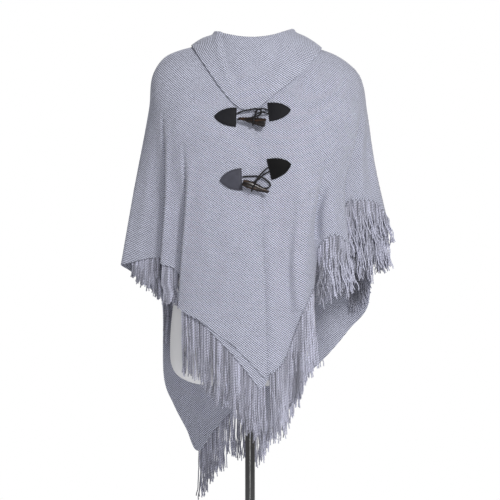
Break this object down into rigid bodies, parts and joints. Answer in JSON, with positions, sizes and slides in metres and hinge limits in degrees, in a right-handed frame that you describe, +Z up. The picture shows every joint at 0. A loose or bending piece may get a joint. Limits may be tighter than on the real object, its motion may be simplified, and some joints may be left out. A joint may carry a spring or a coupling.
{
  "type": "knitted poncho sweater on a dress form",
  "caption": "Front-opening knitted poncho with a fold-over shawl collar, fringed pointed hems and horn toggles, draped on a limbless dress form on a round-based stand.",
  "frame": {"origin": "middle of the underside of the stand's round base, on the floor", "axes": "+Z up, the front of the garment faces -Y, +X towards the wearer's left, which is the viewer's right"},
  "size_m": [0.5769, 0.33, 1.4245],
  "materials": {
    "knit": "grey-blue moss-stitch knit, matt",
    "fringe": "plied knitting yarn in the same grey-blue, matt",
    "leather": "black, slightly glossy, edge-stitched",
    "horn": "very dark brown horn, polished",
    "cord": "black waxed round cord",
    "form_cloth": "pale grey-cream jersey cover, smooth",
    "stand_metal": "black, glossy"
  },
  "bodies": {
    "root": {"front_left": "knit", "front_right": "knit", "back": "knit", "collar": "knit", "hem_band": "knit", "fringe_front_left": "fringe", "fringe_left_pleat": "fringe", "fringe_left_sleeve": "fringe", "fringe_back": "fringe", "fringe_back_inner": "fringe", "fringe_right_sleeve": "fringe", "fringe_right_drape": "fringe", "fringe_front_right": "fringe", "tab_upper_left": "leather", "tab_upper_right": "leather", "tab_lower_left": "leather", "tab_lower_right": "leather", "horn_upper": "horn", "horn_lower": "horn", "loop_upper": "cord", "tie_upper": "cord", "loop_lower": "cord", "tie_lower": "cord", "form_torso": "form_cloth", "form_pole": "stand_metal", "form_base": "stand_metal"}
  },
  "joints": []
}
